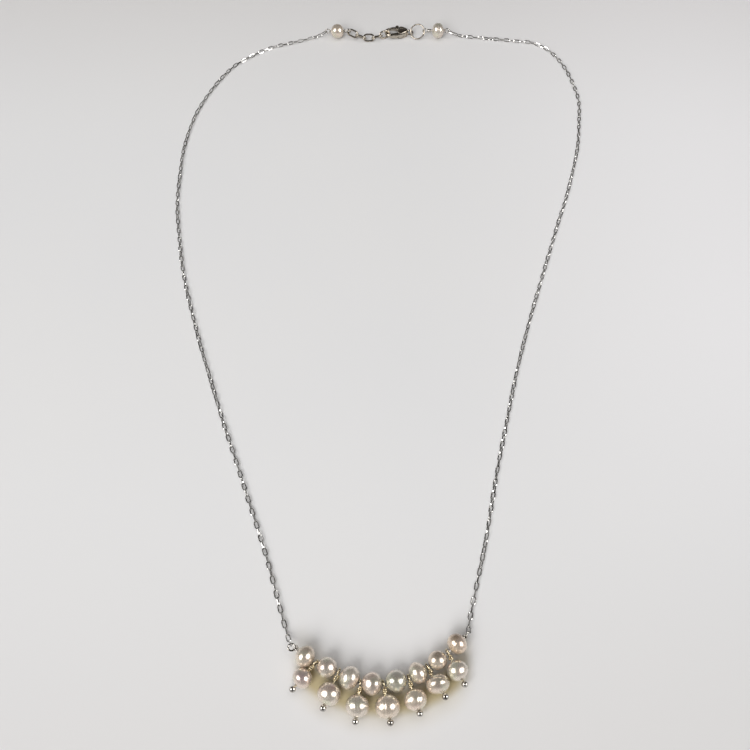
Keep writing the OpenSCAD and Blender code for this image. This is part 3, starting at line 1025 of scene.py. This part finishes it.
def make_ring(silver):
    start, end = Vector(RING_START) * MM, Vector(RING_END) * MM
    work = bmesh.new()
    sweep(work, circle_points((end - start).length / 2, RING_STEPS), RING_WIRE_R, sides=12, closed=True)
    place = axes(end - start, (start + end) / 2) @ roll_matrix(RING_ROLL)
    bmesh.ops.transform(work, matrix=place, verts=work.verts)
    settle(work, "clasp_ring", "_round", silver)


# Lobster clasp. Its sizes are in millimetres, from the middle of the hook's bend.


CLASP_PLACE = Matrix.Translation((2.5 * MM, 100.8 * MM, 1.15 * MM))
# The hook bends from its nose to the back of the clasp, between these angles in degrees
HOOK_BEND_R = 1.65
HOOK_START = 116
HOOK_END = 277
HOOK_STEPS = 30
# Half sizes of the hook at its nose, and their growth
NOSE_WIDTH = 0.4
NOSE_WIDENS = 0.12
NOSE_HEIGHT = 0.42
NOSE_HEIGHTENS = 0.13
BACK_HEIGHTENS = 0.3
# The back carries on in sections to the tail, as (x, y, half width, half height)
BACK_SECTIONS = [
    (0.9, -1.56, 0.58, 0.92), (1.6, -1.46, 0.62, 1.0), (2.3, -1.3, 0.68, 1.06), (3.1, -1.05, 0.75, 1.08),
    (3.9, -0.65, 0.72, 1.05), (4.6, -0.15, 0.5, 0.85), (4.95, 0.05, 0.3, 0.5),
]
CHEEK_OUTLINE = [(1.95, -1.5), (1.95, 0.0), (2.35, 1.25), (3.1, 1.5), (4.15, 1.0), (4.85, 0.35),
                 (4.85, -0.4), (4.2, -1.1), (3.0, -1.6)]
CHEEK_INSIDE = 0.56
CHEEK_OUTSIDE = 1.15
CHEEK_ROUND = 0.2
TAIL_EYE = Vector((5.64, 0, 0))
TAIL_EYE_R = 0.95
TAIL_WIRE_R = 0.23

PIVOT = Vector((3.1, 0.8, 0))
RIVET_R = 0.3
RIVET_LENGTH = 2.3
RIVET_HEAD_R = 0.42
RIVET_HEAD_FLATNESS = 0.4
RIVET_HEADS = (-0.98, 1.12)

BLADE_OUTLINE = [(-0.57, 1.34), (-0.5, 1.72), (0.3, 2.02), (1.5, 2.1), (2.6, 1.9), (3.5, 1.3),
                 (3.4, 0.4), (2.7, 0.4), (1.6, 1.05), (0.4, 1.36)]
BLADE_HALF = 0.45
BLADE_ROUND = 0.14
KNOB_MIDDLE = Vector((1.75, 2.25, 0))
KNOB_R = 0.55
KNOB_HALF = 0.5
KNOB_ROUND = 0.16


def hook_section(share):
    """Half width and half height of the hook. It thickens behind its nose and is taller near the back."""
    grown = min(1, 5 * share)
    taller = max(0, 4 * share - 3)
    return NOSE_WIDTH + NOSE_WIDENS * grown, NOSE_HEIGHT + NOSE_HEIGHTENS * grown + BACK_HEIGHTENS * taller


def make_clasp_body(silver):
    work = bmesh.new()
    path = []
    sizes = []
    for k in range(HOOK_STEPS + 1):
        share = k / HOOK_STEPS
        angle = math.radians(HOOK_START + (HOOK_END - HOOK_START) * share)
        path.append(Vector((HOOK_BEND_R * math.cos(angle), HOOK_BEND_R * math.sin(angle), 0)) * MM)
        sizes.append([size * MM for size in hook_section(share)])
    for x, y, half_width, half_height in BACK_SECTIONS:
        path.append(Vector((x, y, 0)) * MM)
        sizes.append([half_width * MM, half_height * MM])
    flat_sweep(work, path, sizes)
    cheek = outline(CHEEK_OUTLINE)
    for low, high in ((CHEEK_INSIDE, CHEEK_OUTSIDE), (-CHEEK_OUTSIDE, -CHEEK_INSIDE)):
        plate(work, cheek, low * MM, high * MM, CHEEK_ROUND * MM)
    sweep(work, circle_points(TAIL_EYE_R * MM, 36, TAIL_EYE * MM), TAIL_WIRE_R * MM, sides=12, closed=True)
    bmesh.ops.transform(work, matrix=CLASP_PLACE, verts=work.verts)
    settle(work, "clasp_body", "_cast", silver)


def make_clasp_pin(silver):
    work = bmesh.new()
    place = CLASP_PLACE @ Matrix.Translation(PIVOT * MM)
    bmesh.ops.create_cone(work, cap_ends=True, segments=28, radius1=RIVET_R * MM, radius2=RIVET_R * MM,
                          depth=RIVET_LENGTH * MM, matrix=place)
    for height in RIVET_HEADS:
        dome = place @ Matrix.Translation(height * MM * UP) @ Matrix.Diagonal((1, 1, RIVET_HEAD_FLATNESS, 1))
        bmesh.ops.create_uvsphere(work, u_segments=24, v_segments=12, radius=RIVET_HEAD_R * MM, matrix=dome)
    settle(work, "clasp_pin", "_riveted", silver)


def make_clasp_lever(silver):
    work = bmesh.new()
    plate(work, outline(BLADE_OUTLINE), -BLADE_HALF * MM, BLADE_HALF * MM, BLADE_ROUND * MM)
    knob = circle_points(KNOB_R * MM, 28, KNOB_MIDDLE * MM)
    plate(work, knob, -KNOB_HALF * MM, KNOB_HALF * MM, KNOB_ROUND * MM)
    bmesh.ops.transform(work, matrix=CLASP_PLACE, verts=work.verts)
    settle(work, "clasp_lever", "_cast", silver, body=LEVER)


make_camera()
make_table()
make_light()
make_room()
silver = silver_finish("silver", (206, 203, 198), (128, 122, 114))
# warm tint on the wrapped wire: a painted reflection of the pearls; its dark mottle is tarnish
warm_reflection_wrap_silver = silver_finish("silver_wrapped_warm_reflection", (232, 220, 190), (84, 70, 48), patch=0.5 * MM)
cast_silver = silver_finish("silver_cast", (200, 192, 179), (88, 78, 64), patch=0.7 * MM)
# the chain's paler tint at the back of the loop is a painted glint
chain_silver = silver_finish("silver_chain", (206, 205, 202), (62, 60, 56), gloss=0.06, patch=0.5 * MM,
                             rear_painted_glint=(240, 239, 236))
make_pearls()
make_pins(warm_reflection_wrap_silver, silver)
front_left_eye, front_right_eye = make_bar_wire(silver)
rear_left_eye, _ = make_rear_wire("link_wire_left", "pearl_clasp_left", silver,
                                  turns_left=1, turns_right=2)
_, rear_right_eye = make_rear_wire("link_wire_right", "pearl_clasp_right", silver,
                                   turns_left=4, turns_right=1)
make_chain("chain_left", LEFT_ROUTE, front_left_eye, rear_left_eye, chain_silver,
           start_roll=math.pi / 2, flat_until=0.22)
make_chain("chain_right", RIGHT_ROUTE, front_right_eye, rear_right_eye, chain_silver,
           start_roll=0, flat_until=0.03)
make_extender(cast_silver)
make_ring(cast_silver)
make_clasp_body(cast_silver)
make_clasp_pin(cast_silver)
make_clasp_lever(cast_silver)
